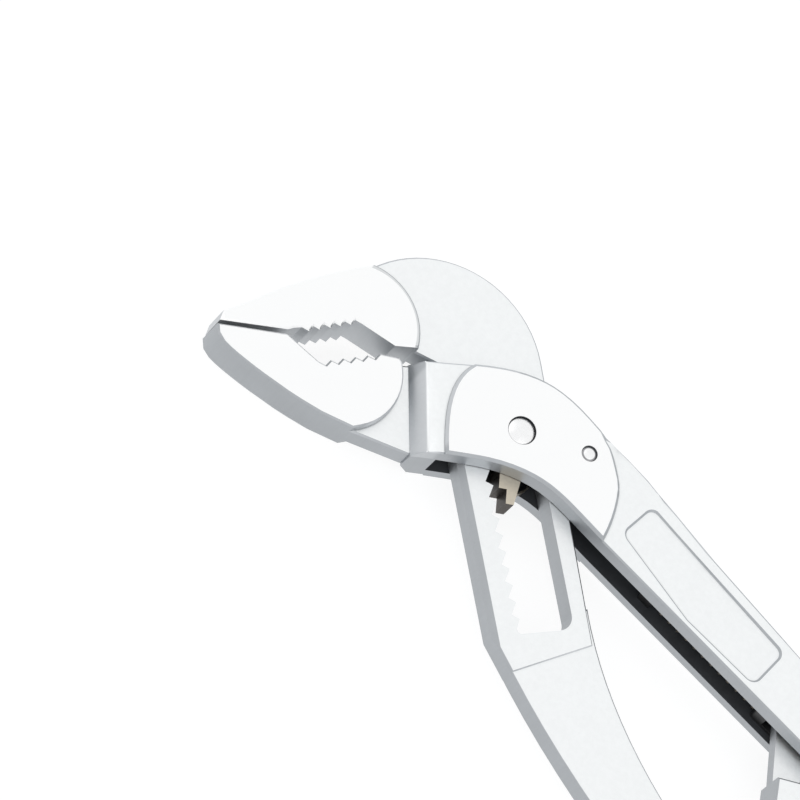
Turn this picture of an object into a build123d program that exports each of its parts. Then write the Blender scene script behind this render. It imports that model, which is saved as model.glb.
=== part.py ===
from build123d import *
import os
from math import cos, hypot, pi, radians, sin, sqrt

# Self-adjusting pliers, lying flat with the front face up. Millimetres.
# The pivot axis is the origin, X runs towards the jaws and Y towards the flat handle.

# Reach and drop of the head, measured from the pivot axis
jaw_reach = 57.6
jaw_drop = 30.4
head_reach = 27.0
head_half = 13.0

# Reach and depth of the handles
handle_reach = 181.0
handle_depth = 12.0
bar_spread = 51.5

# Thicknesses, stacked up from the rear boss face, which the tool lies on
rear_boss_rise = 0.5
rear_cheek = 2.8
fork_gap = 6.3
front_cheek = 3.8
front_boss_rise = 0.8
plate_play = 0.2
jaw_thickness = 9.9
neck_thickness = 5.6
bar_thickness = 5.4
edge_break = 0.35
wall_bevel = 1.15
wall_bevel_drop = 1.3
jaw_edge_break = 0.35
boss_edge_break = 0.6
rear_edge_break = 0.3
boss_root = 1.2
overrun = 4.0

rear_face_z = rear_boss_rise
gap_low_z = rear_face_z + rear_cheek
gap_high_z = gap_low_z + fork_gap
front_face_z = gap_high_z + front_cheek
boss_face_z = front_face_z + front_boss_rise
head_mid_z = (rear_face_z + front_face_z) / 2
gap_mid_z = (gap_low_z + gap_high_z) / 2
plate_low_z = gap_low_z + plate_play
plate_high_z = gap_high_z - plate_play
plate_thickness = plate_high_z - plate_low_z
bar_low_z = gap_mid_z - bar_thickness / 2

# The rack slot of the inner lever: it slides along this direction on the pivot
slide_angle = -36.87
tooth_pitch = 3.5
tooth_depth = 1.5
tooth_rake = 1.0
rack_teeth = 11
first_tooth = 2.5
tip_offset = 6.4
slot_wall_offset = 4.8
slot_top = 7.4
slot_end = 40.6
slot_corner = 3.0
slot_root_corner = 0.9

# Pivot pin and its sleeve
pin_radius = 2.95
pin_play = 0.04
pin_head_radius = 4.8
pin_head_depth = 1.5
pin_groove = 0.75
pin_dome = 0.5
pin_edge_break = 0.25
sleeve_radius = 3.55
sleeve_end_play = 0.1

# Small cross pin behind the pivot
cross_pin_x = -12.8
cross_pin_y = -7.2
cross_pin_radius = 1.65
cross_pin_groove = 0.4
cross_pin_dome = 0.35
stop_bush_radius = 2.6

# Guide block and pawl in the slot
block_play = 0.15
block_radius = 6.1
block_length = 7.0
block_split = 0.1
pawl_hub_radius = 4.6
pawl_gap = 0.35
pawl_rock = 13.0

# Jaw teeth
jaw_tooth_depth = 0.95
upper_jaw_teeth = 6
lower_jaw_teeth = 5

# The channel handle
web_thickness = 3.0
channel_end_wall = 4.0
wall_under_grip = 1.8
ramp_run = 2.6
panel_depth = 0.45
panel_corner = 2.2

# Strut between the handles, with its spring-loaded slider in the channel
strut_pin_x = -110.0
strut_pin_y = 45.25
nose_x = -80.0
nose_y = -0.2
strut_pin_radius = 2.0
nose_pin_radius = 1.75
strut_eye_radius = 5.0
nose_eye_radius = 3.5
tongue_thickness = 3.4
tongue_length = 13.0
tine_thickness = 1.9
tine_play = 0.25
pin_head_height = 0.9
pin_head_rim = 1.7
slider_front = 7.5
slider_back = 5.0
slider_play = 0.2
slider_drift = 0.75
slider_high = 3.2

# Return spring on the slider
seat_x = -40.0
seat_length = 3.0
spring_wire = 0.8
spring_mean_radius = 2.45
spring_turns = 12
spigot_radius = 1.75
spigot_length = 3.2
seat_play = 0.05

# Grips
outer_grip_gap = 8.0
inner_grip_gap = 4.0
grip_wall = 2.4
grip_thickness = 13.4
grip_play = 0.12
grip_corner = 3.4
groove_pitch = 6.0
groove_width = 1.6
groove_depth = 0.6

# Outlines as shares of the reach and drop they follow
upper_nose_shares = [(1.002, 0.993), (1.005, 0.875), (0.912, 0.375), (0.769, -0.128)]
upper_web_shares = [(0.769, -0.128), (0.625, -0.161), (0.453, 0.076)]
upper_flank_shares = [(0.46, 0.079), (0.517, 0.178)]
upper_teeth_shares = [(0.684, 0.243), (0.814, 0.635)]
upper_tip_share = (0.816, 0.678)
lower_tip_shares = [(0.993, 1.023), (0.807, 0.707)]
lower_teeth_shares = [(0.663, 0.671), (0.535, 0.309)]
lower_corner_shares = [(0.476, 0.227), (0.458, 0.237)]
lower_back_shares = [(0.458, 0.237), (0.37, 0.533), (0.418, 0.829)]
lower_belly_shares = [(0.418, 0.829), (0.634, 1.0), (0.79, 1.079), (0.97, 1.066)]
neck_shares = [(0.52, 0.395), (0.458, 0.23), (0.4045, 0.128), (0.28, 0.16),
               (0.186, 0.589), (0.22, 0.651), (0.418, 0.829), (0.5, 0.8)]

fork_top_shares = [(0.863, 0.3), (0.3, -0.738), (0.048, -0.969), (-0.544, -1.008)]
fork_bottom_shares = [(0.377, 1.392), (0.186, 1.05), (0.007, 0.755), (-0.331, 0.4), (-1.011, 0.269)]
boss_left_shares = [(0.57, -0.37), (0.604, 0.115), (0.507, 0.623), (0.27, 1.23)]
boss_right_shares = [(-0.45, -1.15), (-0.79, -0.592), (-0.993, 0.269), (-1.03, 0.8)]
gap_wall_shares = [(0.23, 1.42), (0.5, 0.69), (0.782, 0.146), (1.08, -0.31)]
web_start_shares = [(-0.315, -1.5), (-0.315, -0.86), (-0.444, -0.81)]

handle_top_shares = [(-0.082, -1.092), (-0.28, -0.8), (-1.0, -0.683)]
handle_seat_share = -0.7
handle_low_share = 0.36
web_step_shares = (-0.115, -0.35)
panel_shares = [(-0.161, -0.05), (-0.165, -0.875), (-0.38, -0.62), (-0.38, 0.24), (-0.276, 0.24)]

bar_outer_shares = [(-0.151, 0.687), (-0.246, 0.797), (-0.417, 0.926), (-0.611, 1.0), (-1.0, 1.029)]
bar_inner_shares = [(-0.19, 0.291), (-0.257, 0.449), (-0.333, 0.573), (-0.611, 0.757), (-1.0, 0.816)]


def spots(shares, along, across):
    """Outline points from shares of the two sizes that they follow."""
    return [(x * along, y * across) for x, y in shares]


def jaw_spots(shares):
    return spots(shares, jaw_reach, jaw_drop)


def head_spots(shares):
    return spots(shares, head_reach, head_half)


def handle_spots(shares):
    return spots(shares, handle_reach, handle_depth)


def bar_spots(shares):
    return spots(shares, handle_reach, bar_spread)


def toothed_line(start, end, count, depth):
    """Points from start to end with count valleys cut to the left of the line."""
    run_x, run_y = end[0] - start[0], end[1] - start[1]
    length = hypot(run_x, run_y)
    left_x, left_y = -run_y / length, run_x / length
    points = [start]
    for tooth in range(count):
        valley, peak = (tooth + 0.5) / count, (tooth + 1) / count
        points.append((start[0] + run_x * valley + left_x * depth,
                       start[1] + run_y * valley + left_y * depth))
        points.append((start[0] + run_x * peak, start[1] + run_y * peak))
    return points


def slot_plane(height):
    """Plane of the inner lever's slot: its X is the opening slide, its Y faces the rack."""
    turn = radians(slide_angle)
    return Plane(origin=(0, 0, height), x_dir=(cos(turn), sin(turn), 0), z_dir=(0, 0, 1))


def slot_section(height):
    """Plane square to the slot: its X faces the rack and its Y points up."""
    turn = radians(slide_angle)
    return Plane(origin=(0, 0, height), x_dir=(-sin(turn), cos(turn), 0), z_dir=(cos(turn), sin(turn), 0))


def flat_plane(x, y, height):
    return Plane(origin=(x, y, height), x_dir=(1, 0, 0), z_dir=(0, 0, 1))


# Outer lever: lower jaw, neck, fork cheeks and channel handle in one forging
fork_corner = head_spots(fork_top_shares)[0]
fork_foot = head_spots(fork_bottom_shares)[0]
edge_x, edge_y = fork_corner[0] - fork_foot[0], fork_corner[1] - fork_foot[1]
edge_length = hypot(edge_x, edge_y)
along_x, along_y = edge_x / edge_length, edge_y / edge_length
out_x, out_y = -along_y, along_x
ramp_drop = (front_face_z - rear_face_z - neck_thickness) / 2
outer_grip_start = nose_x - slider_back - outer_grip_gap
handle_top = handle_spots(handle_top_shares)
handle_top.insert(2, (outer_grip_start - grip_wall, handle_seat_share * handle_depth))
handle_low = handle_low_share * handle_depth
tang_start = outer_grip_start + grip_play
tang_low_z = head_mid_z - fork_gap / 2 - wall_under_grip
tang_high_z = head_mid_z + fork_gap / 2 + wall_under_grip


def ramp_plane(height, up):
    """Plane across the fork's front edge, for the slope down to the neck."""
    middle = ((fork_corner[0] + fork_foot[0]) / 2, (fork_corner[1] + fork_foot[1]) / 2)
    return Plane(origin=(middle[0], middle[1], height), x_dir=(out_x, out_y, 0),
                 z_dir=(up * along_x, up * along_y, 0))


# Outline of the fork and the channel handle, out to the foot of the slope
with BuildLine() as lever_outline:
    top = head_spots(fork_top_shares)
    low = head_spots(fork_bottom_shares[:-1]) + [(fork_bottom_shares[-1][0] * head_reach, handle_low)]
    foot_high = (top[0][0] + out_x * ramp_run, top[0][1] + out_y * ramp_run)
    foot_low = (low[0][0] + out_x * ramp_run, low[0][1] + out_y * ramp_run)
    middle_run = (handle_top[2][0] - handle_top[1][0], handle_top[2][1] - handle_top[1][1])
    back_run = (handle_top[3][0] - handle_top[2][0], handle_top[3][1] - handle_top[2][1])
    Polyline(low[0], foot_low, foot_high, top[0])
    Spline(*(top + handle_top[1:2]), tangents=[(-out_x, -out_y), middle_run])
    Spline(*handle_top[1:3], tangents=[middle_run, back_run])
    Polyline(handle_top[2], handle_top[3], (handle_top[3][0], handle_low), low[-1])
    Spline(*reversed(low), tangents=[(1, 0), (out_x, out_y)])

with BuildPart() as fork:
    # Fork and handle outline with room for the slope at the neck
    with BuildSketch(Plane.XY.offset(rear_face_z)):
        make_face(lever_outline.edges())
    extrude(amount=front_face_z - rear_face_z)
    for face_z, up in ((front_face_z, 1), (rear_face_z, -1)):
        with BuildSketch(ramp_plane(face_z, up)):
            Polygon((0, overrun), (0, 0), (ramp_run, -ramp_drop), (ramp_run + overrun, -ramp_drop),
                    (ramp_run + overrun, overrun), align=None)
        extrude(amount=edge_length, both=True, mode=Mode.SUBTRACT)
    chamfer(edges().group_by(Axis.Z)[-1], length=edge_break)
    chamfer(edges().group_by(Axis.Z)[0], length=edge_break)
    # Thinner tang inside the grip
    for low_z, high_z in ((rear_face_z - overrun, tang_low_z), (tang_high_z, front_face_z + overrun)):
        with BuildSketch(flat_plane(tang_start, 0, low_z)):
            Rectangle(handle_reach, handle_depth * 4, align=(Align.MAX, Align.CENTER))
        extrude(amount=high_z - low_z, mode=Mode.SUBTRACT)

# Neck between the fork and the jaw
with BuildPart() as neck:
    with BuildSketch(Plane.XY.offset(head_mid_z - neck_thickness / 2)):
        Polygon(*jaw_spots(neck_shares), align=None)
    extrude(amount=neck_thickness)
    chamfer(edges().group_by(Axis.Z)[-1], length=edge_break)
    chamfer(edges().group_by(Axis.Z)[0], length=edge_break)


def boss_blank(low_z, high_z, rim, length):
    """Raised face of one cheek, with its rim broken."""
    with BuildPart() as boss:
        with BuildSketch(Plane.XY.offset(low_z)):
            make_face(lever_outline.edges())
            with BuildLine():
                left = head_spots(boss_left_shares)
                right = head_spots(boss_right_shares)
                Spline(*left)
                Line(left[-1], right[-1])
                Spline(*reversed(right))
                Polyline(right[0], (right[0][0], -head_reach), (left[0][0], -head_reach), left[0])
            make_face(mode=Mode.INTERSECT)
        extrude(amount=high_z - low_z)
        chamfer(edges().group_by(Axis.Z)[rim], length=length)
    return boss.part


front_boss = boss_blank(front_face_z - boss_root, boss_face_z, -1, boss_edge_break)
rear_boss = boss_blank(0, rear_face_z + boss_root, 0, rear_edge_break)

# Lower jaw
with BuildPart() as lower_jaw:
    with BuildSketch(Plane.XY.offset(head_mid_z - jaw_thickness / 2)):
        with BuildLine():
            tip = jaw_spots(lower_tip_shares)
            teeth = jaw_spots(lower_teeth_shares)
            corner = jaw_spots(lower_corner_shares)
            belly = jaw_spots(lower_belly_shares)
            Polyline(*(tip + toothed_line(teeth[0], teeth[1], lower_jaw_teeth, -jaw_tooth_depth) + corner))
            ThreePointArc(*jaw_spots(lower_back_shares))
            Spline(*belly)
            Line(belly[-1], tip[0])
        make_face()
    extrude(amount=jaw_thickness)
    chamfer(edges().group_by(Axis.Z)[-1], length=jaw_edge_break)
    chamfer(edges().group_by(Axis.Z)[0], length=jaw_edge_break)

# Sunken panel on the front of the handle, left bare, with sloping sides
with BuildPart() as panel_cut:
    with BuildSketch(Plane.XY.offset(front_face_z - panel_depth)):
        with BuildLine():
            Polyline(*handle_spots(panel_shares), close=True)
        make_face()
        fillet(vertices(), radius=panel_corner)
    extrude(amount=panel_depth + overrun)
    chamfer(edges().group_by(Axis.Z)[0], length=panel_depth)

with BuildPart() as outer_lever:
    add(fork.part)
    add(neck.part)
    add(front_boss)
    add(rear_boss)
    add(lower_jaw.part)
    # Gap through the fork and along the channel
    with BuildSketch(Plane.XY.offset(gap_low_z)):
        with BuildLine():
            wall = head_spots(gap_wall_shares)
            web = head_spots(web_start_shares)
            inner = [(x, y + web_thickness) for x, y in handle_top]
            step_x = web_step_shares[0] * handle_reach
            step_y = web_step_shares[1] * handle_depth
            mouth = handle_low + overrun
            end_x = -handle_reach + channel_end_wall
            Polyline(wall[0], wall[1], wall[2], wall[3], (wall[3][0], web[0][1]), web[0], web[1], web[2],
                     (step_x, web[2][1]), (step_x, step_y), (seat_x, step_y), (seat_x, inner[1][1]),
                     inner[1], inner[2], (end_x, inner[3][1]), (end_x, mouth),
                     (-head_reach, mouth), (0, wall[0][1] + overrun),
                     (wall[0][0], wall[0][1] + overrun), wall[0])
        make_face()
    extrude(amount=fork_gap, mode=Mode.SUBTRACT)
    # Pivot bore with its head recess behind and the dark groove in front
    with Locations((0, 0, 0)):
        Cylinder(pin_radius + pin_play, boss_face_z, align=(Align.CENTER, Align.CENTER, Align.MIN),
                 mode=Mode.SUBTRACT)
        Cylinder(pin_head_radius + pin_play, pin_head_depth, align=(Align.CENTER, Align.CENTER, Align.MIN),
                 mode=Mode.SUBTRACT)
    with Locations((0, 0, boss_face_z)):
        Cone(pin_radius + pin_play, pin_radius + pin_groove, pin_groove,
             align=(Align.CENTER, Align.CENTER, Align.MAX), mode=Mode.SUBTRACT)
    # Cross pin bore
    with Locations((cross_pin_x, cross_pin_y, 0)):
        Cylinder(cross_pin_radius + pin_play, boss_face_z, align=(Align.CENTER, Align.CENTER, Align.MIN),
                 mode=Mode.SUBTRACT)
    with Locations((cross_pin_x, cross_pin_y, boss_face_z)):
        Cone(cross_pin_radius + pin_play, cross_pin_radius + cross_pin_groove, cross_pin_groove,
             align=(Align.CENTER, Align.CENTER, Align.MAX), mode=Mode.SUBTRACT)
    add(panel_cut.part, mode=Mode.SUBTRACT)
outer_lever.part.label = "outer_lever"

# Inner lever: upper jaw, round web plate, rack window and flat handle in one forging
web_arc_shares = [(0.118, -0.546), (0.769, -0.128)]
plate_foot_shares = [(-1.094, -1.266), (-1.192, 1.594)]
plate_left_shares = [(-1.0, 2.0), (0.406, 2.0)]


def slot_point(along, across):
    """Point of the slot's own frame, placed in the tool's XY."""
    turn = radians(slide_angle)
    return (along * cos(turn) - across * sin(turn), along * sin(turn) + across * cos(turn))


def rack_points():
    """Zigzag of the rack, from the free end of the slot up to the pivot end."""
    points = []
    for tooth in reversed(range(rack_teeth)):
        tip = -first_tooth - tooth * tooth_pitch
        points.append((tip, tip_offset))
        points.append((tip + tooth_rake, tip_offset + tooth_depth))
    return points


def slot_spots(shares):
    """Outline points from shares of the slot's length and of its rack's offset."""
    return [slot_point(along * slot_end, across * tip_offset) for along, across in shares]


# Round web plate with the window band
with BuildPart() as web_plate:
    with BuildSketch(Plane.XY.offset(plate_low_z)):
        with BuildLine():
            rim_end, rim_start = jaw_spots(web_arc_shares)
            side = slot_spots(plate_foot_shares + plate_left_shares)
            TangentArc(rim_end, rim_start, tangent=(rim_end[0] - side[0][0], rim_end[1] - side[0][1]))
            Polyline(*([rim_end] + side + [jaw_spots(upper_web_shares)[-1], rim_start]))
        make_face()
    extrude(amount=plate_thickness)
    chamfer(edges().group_by(Axis.Z)[-1], length=edge_break)
    chamfer(edges().group_by(Axis.Z)[0], length=edge_break)
    # Wider bevel along the front edge of the wall beside the rack
    wall = plate_left_shares[0][1] * tip_offset
    with BuildSketch(slot_section(plate_high_z)):
        Polygon((wall - wall_bevel, 0), (wall, -wall_bevel_drop), (wall + overrun, -wall_bevel_drop),
                (wall + overrun, overrun), (wall - wall_bevel, overrun), align=None)
    extrude(amount=-(slot_end + overrun), mode=Mode.SUBTRACT)

# Flat handle
with BuildPart() as flat_bar:
    with BuildSketch(Plane.XY.offset(bar_low_z)):
        with BuildLine():
            outer_edge = bar_spots(bar_outer_shares)
            inner_edge = bar_spots(bar_inner_shares)
            Spline(*outer_edge)
            Line(outer_edge[-1], inner_edge[-1])
            Spline(*reversed(inner_edge))
            Line(inner_edge[0], outer_edge[0])
        make_face()
    extrude(amount=bar_thickness)
    chamfer(edges().group_by(Axis.Z)[-1], length=edge_break)
    chamfer(edges().group_by(Axis.Z)[0], length=edge_break)

# Upper jaw
with BuildPart() as upper_jaw:
    with BuildSketch(Plane.XY.offset(head_mid_z - jaw_thickness / 2)):
        with BuildLine():
            nose = jaw_spots(upper_nose_shares)
            flank = jaw_spots(upper_flank_shares)
            teeth = jaw_spots(upper_teeth_shares)
            web = jaw_spots(upper_web_shares)
            Line(nose[0], nose[1])
            ThreePointArc(*nose[1:])
            ThreePointArc(*web)
            Polyline(*([web[-1]] + flank + toothed_line(teeth[0], teeth[1], upper_jaw_teeth, -jaw_tooth_depth)
                       + jaw_spots([upper_tip_share]) + [nose[0]]))
        make_face()
    extrude(amount=jaw_thickness)
    chamfer(edges().group_by(Axis.Z)[-1], length=jaw_edge_break)
    chamfer(edges().group_by(Axis.Z)[0], length=jaw_edge_break)

with BuildPart() as inner_lever:
    add(web_plate.part)
    add(flat_bar.part)
    add(upper_jaw.part)
    # Slot with the rack along one side
    with BuildSketch(slot_plane(plate_low_z)):
        with BuildLine():
            rack = rack_points()
            Polyline(*([(slot_top, -slot_wall_offset), (slot_top, tip_offset + tooth_depth),
                        (0, tip_offset + tooth_depth)]
                       + list(reversed(rack))[1:]
                       + [(-slot_end, tip_offset + tooth_depth), (-slot_end, -slot_wall_offset)]), close=True)
        make_face()
        ends = vertices().group_by(Axis.X)[0].sort_by(Axis.Y)
        fillet(ends[0], radius=slot_corner)
        fillet(vertices().group_by(Axis.X)[0].sort_by(Axis.Y)[-1], radius=slot_root_corner)
    extrude(amount=plate_thickness, mode=Mode.SUBTRACT)
    # Hole for the strut's pin
    with Locations((strut_pin_x, strut_pin_y, bar_low_z)):
        Cylinder(strut_pin_radius + pin_play, bar_thickness, align=(Align.CENTER, Align.CENTER, Align.MIN),
                 mode=Mode.SUBTRACT)
inner_lever.part.label = "inner_lever"

# Pivot pin: headed from the back, flush and slightly domed in front
def dome_middle(radius, rise, top_z):
    """Point half way along the arc of a dome, in the XZ plane."""
    ball = (radius ** 2 + rise ** 2) / (2 * rise)
    return (radius / 2, top_z - ball + sqrt(ball ** 2 - (radius / 2) ** 2))


with BuildPart() as pivot_pin:
    with BuildSketch(Plane.XZ):
        with BuildLine():
            head_top = pin_head_depth - pin_play
            Polyline((0, boss_face_z), (0, 0), (pin_head_radius - pin_edge_break, 0),
                     (pin_head_radius, pin_edge_break), (pin_head_radius, head_top), (pin_radius, head_top),
                     (pin_radius, boss_face_z - pin_dome))
            ThreePointArc((pin_radius, boss_face_z - pin_dome),
                          dome_middle(pin_radius, pin_dome, boss_face_z), (0, boss_face_z))
        make_face()
    revolve(axis=Axis.Z)
pivot_pin.part.label = "pivot_pin"

# Hardened sleeve on the pin, between the cheeks
with BuildPart() as pivot_sleeve:
    with BuildSketch(Plane.XY.offset(gap_low_z + sleeve_end_play)):
        Circle(sleeve_radius)
        Circle(pin_radius + pin_play, mode=Mode.SUBTRACT)
    extrude(amount=fork_gap - 2 * sleeve_end_play)
pivot_sleeve.part.label = "pivot_sleeve"

# Cross pin behind the pivot, with the bush that stops the inner lever
with BuildPart() as cross_pin:
    with BuildSketch(Plane(origin=(cross_pin_x, cross_pin_y, 0), x_dir=(1, 0, 0), z_dir=(0, -1, 0))):
        with BuildLine():
            Polyline((0, boss_face_z), (0, 0), (cross_pin_radius - pin_edge_break, 0),
                     (cross_pin_radius, pin_edge_break), (cross_pin_radius, boss_face_z - cross_pin_dome))
            ThreePointArc((cross_pin_radius, boss_face_z - cross_pin_dome),
                          dome_middle(cross_pin_radius, cross_pin_dome, boss_face_z), (0, boss_face_z))
        make_face()
    revolve(axis=Axis((cross_pin_x, cross_pin_y, 0), (0, 0, 1)))
cross_pin.part.label = "cross_pin"

with BuildPart() as stop_bush:
    with BuildSketch(flat_plane(cross_pin_x, cross_pin_y, gap_low_z + sleeve_end_play)):
        Circle(stop_bush_radius)
        Circle(cross_pin_radius + pin_play, mode=Mode.SUBTRACT)
    extrude(amount=fork_gap - 2 * sleeve_end_play)
stop_bush.part.label = "stop_bush"

# Guide block: slides in the slot and turns on the sleeve, half as thick as the plate
block_thickness = plate_thickness / 2 - block_split / 2
block_lead_angle = 3.0
with BuildPart() as guide_block:
    with BuildSketch(slot_plane(plate_low_z)):
        with BuildLine():
            side = tip_offset - block_play
            wall = slot_wall_offset - block_play
            lead = radians(block_lead_angle)
            arc_start = (-sqrt(block_radius ** 2 - wall ** 2), -wall)
            arc_end = (-block_radius * sin(lead), block_radius * cos(lead))
            Polyline((0, side), (block_length, side), (block_length, -wall), arc_start)
            ThreePointArc(arc_start, (-block_radius, 0), arc_end)
            Line(arc_end, (0, side))
        make_face()
        Circle(sleeve_radius + pin_play, mode=Mode.SUBTRACT)
    extrude(amount=block_thickness)
guide_block.part.label = "guide_block"

# Pawl: its eye turns on the sleeve above the block, its toothed finger is as thick as the plate
mesh_depth_gap = 0.45
mesh_flank_gap = 0.1
first_meshed_tooth = 1
pawl_root_offset = 1.6
pawl_root_reach = 7.8


def rocked(point):
    """Turn a point of the meshed pawl back to where it rests, clear of the rack."""
    turn = radians(pawl_rock)
    return (point[0] * cos(turn) - point[1] * sin(turn), point[0] * sin(turn) + point[1] * cos(turn))


def pawl_outline():
    """Finger of the pawl as it lies in mesh, with two teeth."""
    finger_start = block_radius + pawl_gap
    nose_offset = tip_offset - 2 * mesh_depth_gap
    points = [(-sqrt(finger_start ** 2 - pawl_root_offset ** 2), pawl_root_offset),
              (-finger_start * cos(radians(pawl_rock * 3)), finger_start * sin(radians(pawl_rock * 3))),
              (-sqrt((finger_start + 2 * pawl_gap) ** 2 - nose_offset ** 2), nose_offset)]
    for tooth in range(first_meshed_tooth, first_meshed_tooth + 3):
        rack_tip = -first_tooth - tooth * tooth_pitch
        if tooth > first_meshed_tooth:
            points.append((rack_tip + tooth_rake - mesh_flank_gap, tip_offset + tooth_depth - mesh_depth_gap))
        points.append((rack_tip + mesh_flank_gap, tip_offset - mesh_depth_gap))
    points.append((-pawl_root_reach, pawl_root_offset))
    return [rocked(point) for point in points]


with BuildPart() as pawl:
    with BuildSketch(slot_plane(plate_low_z)):
        Polygon(*pawl_outline(), align=None)
    extrude(amount=plate_thickness)
    with BuildSketch(slot_plane(plate_high_z - block_thickness)):
        Circle(pawl_hub_radius)
        Polygon(*([(0, 0)] + pawl_outline()[:1] + pawl_outline()[2:3]), align=None)
        Polygon(*pawl_outline(), align=None)
        Circle(sleeve_radius + pin_play, mode=Mode.SUBTRACT)
    extrude(amount=block_thickness)
pawl.part.label = "pawl"

# Seat of the return spring, standing against the step of the channel
with BuildPart() as spring_seat:
    seat_low_y = handle_top[1][1] + web_thickness
    with BuildSketch(flat_plane(seat_x, seat_low_y, gap_low_z + seat_play)):
        Rectangle(seat_length, nose_y + spring_mean_radius - seat_low_y, align=(Align.MAX, Align.MIN))
    extrude(amount=fork_gap - 2 * seat_play)
    with BuildSketch(Plane(origin=(seat_x - seat_length, nose_y, gap_mid_z), z_dir=(-1, 0, 0))):
        Circle(spigot_radius)
    extrude(amount=spigot_length)
spring_seat.part.label = "spring_seat"

# Slider: a clevis that the spring pushes back along the channel
slider_thickness = fork_gap - 2 * slider_play
slot_gap = tongue_thickness + 2 * plate_play
with BuildPart() as slider:
    slider_low = nose_y - handle_top[2][1] - web_thickness - slider_play
    with BuildSketch(flat_plane(nose_x, nose_y, gap_low_z + slider_play)):
        with Locations(((slider_front - slider_back) / 2, (slider_high - slider_low) / 2)):
            RectangleRounded(slider_front + slider_back, slider_high + slider_low, 2 * edge_break)
    extrude(amount=slider_thickness)
    with BuildSketch(flat_plane(nose_x, nose_y, gap_mid_z - slot_gap / 2)):
        with Locations((nose_eye_radius + slider_drift + plate_play, 0)):
            Rectangle(handle_depth, handle_depth, align=(Align.MAX, Align.CENTER))
    extrude(amount=slot_gap, mode=Mode.SUBTRACT)
    with BuildSketch(flat_plane(nose_x, nose_y, gap_low_z)):
        SlotCenterToCenter(2 * slider_drift, 2 * (nose_pin_radius + plate_play))
    extrude(amount=fork_gap, mode=Mode.SUBTRACT)
    with BuildSketch(Plane(origin=(nose_x + slider_front, nose_y, gap_mid_z), z_dir=(1, 0, 0))):
        Circle(spigot_radius)
    extrude(amount=spigot_length)
slider.part.label = "slider"

# Strut from the flat handle's pin to the slider
strut_dx, strut_dy = strut_pin_x - nose_x, strut_pin_y - nose_y
strut_length = hypot(strut_dx, strut_dy)
tine_gap = bar_thickness + 2 * tine_play
strut_width_share = 0.8


def strut_plane(height):
    """Plane along the strut, from the slider's pin towards the handle's pin."""
    return Plane(origin=(nose_x, nose_y, height), x_dir=(strut_dx, strut_dy, 0), z_dir=(0, 0, 1))


with BuildPart() as strut:
    waist = nose_eye_radius * strut_width_share
    with BuildSketch(strut_plane(gap_mid_z - tongue_thickness / 2)):
        Circle(nose_eye_radius)
        with BuildLine():
            Polyline((0, nose_eye_radius), (tongue_length, waist), (strut_length / 2, waist),
                     (strut_length / 2, -waist), (tongue_length, -waist), (0, -nose_eye_radius), close=True)
        make_face()
    extrude(amount=tongue_thickness)
    with BuildSketch(strut_plane(gap_mid_z - tine_gap / 2 - tine_thickness)):
        with Locations((strut_length, 0)):
            Circle(strut_eye_radius)
        with BuildLine():
            Polyline((tongue_length, waist), (strut_length - strut_eye_radius * 2, waist),
                     (strut_length, strut_eye_radius), (strut_length, -strut_eye_radius),
                     (strut_length - strut_eye_radius * 2, -waist), (tongue_length, -waist), close=True)
        make_face()
    extrude(amount=tine_gap + 2 * tine_thickness)
    chamfer(edges().group_by(Axis.Z)[-1], length=edge_break)
    chamfer(edges().group_by(Axis.Z)[0], length=edge_break)
    with BuildSketch(strut_plane(gap_mid_z - tine_gap / 2)):
        with Locations((strut_length / 2, 0)):
            Rectangle(strut_length, handle_depth * 2, align=(Align.MIN, Align.CENTER))
    extrude(amount=tine_gap, mode=Mode.SUBTRACT)
    with BuildSketch(strut_plane(0)):
        with Locations((strut_length, 0)):
            Circle(strut_pin_radius + pin_play)
        Circle(nose_pin_radius + pin_play)
    extrude(amount=boss_face_z, mode=Mode.SUBTRACT)
strut.part.label = "strut"

# Pin through the strut's nose
with BuildPart() as nose_pin:
    with BuildSketch(flat_plane(nose_x, nose_y, gap_low_z + slider_play + plate_play)):
        Circle(nose_pin_radius)
    extrude(amount=fork_gap - 2 * (slider_play + plate_play))
nose_pin.part.label = "nose_pin"

# Headed pin through the handle and the strut's tines, with its retaining ring
tine_low_z = gap_mid_z - tine_gap / 2 - tine_thickness
tine_high_z = gap_mid_z + tine_gap / 2 + tine_thickness
ring_groove = 0.4
ring_thickness = 0.7
with BuildPart() as strut_pin:
    with BuildSketch(flat_plane(strut_pin_x, strut_pin_y, tine_low_z - plate_play - pin_head_height)):
        Circle(strut_pin_radius + pin_head_rim)
    extrude(amount=pin_head_height)
    with BuildSketch(flat_plane(strut_pin_x, strut_pin_y, tine_low_z - plate_play)):
        Circle(strut_pin_radius)
    extrude(amount=tine_high_z - tine_low_z + 2 * plate_play + 2 * ring_thickness)
    with BuildSketch(flat_plane(strut_pin_x, strut_pin_y, tine_high_z + plate_play)):
        Circle(strut_pin_radius + pin_head_rim)
        Circle(strut_pin_radius - ring_groove, mode=Mode.SUBTRACT)
    extrude(amount=ring_thickness, mode=Mode.SUBTRACT)
strut_pin.part.label = "strut_pin"

with BuildPart() as strut_ring:
    ring_low_z = tine_high_z + plate_play + ring_thickness * ring_groove / 2
    with BuildSketch(flat_plane(strut_pin_x, strut_pin_y, ring_low_z)):
        Circle(strut_pin_radius + pin_head_rim)
        Circle(strut_pin_radius - ring_groove + pin_play, mode=Mode.SUBTRACT)
        with Locations((strut_pin_radius + pin_head_rim, 0)):
            Rectangle(2 * (strut_pin_radius + pin_head_rim), 2 * (strut_pin_radius - ring_groove),
                      mode=Mode.SUBTRACT)
    extrude(amount=ring_thickness * (1 - ring_groove))
strut_ring.part.label = "strut_ring"

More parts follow.
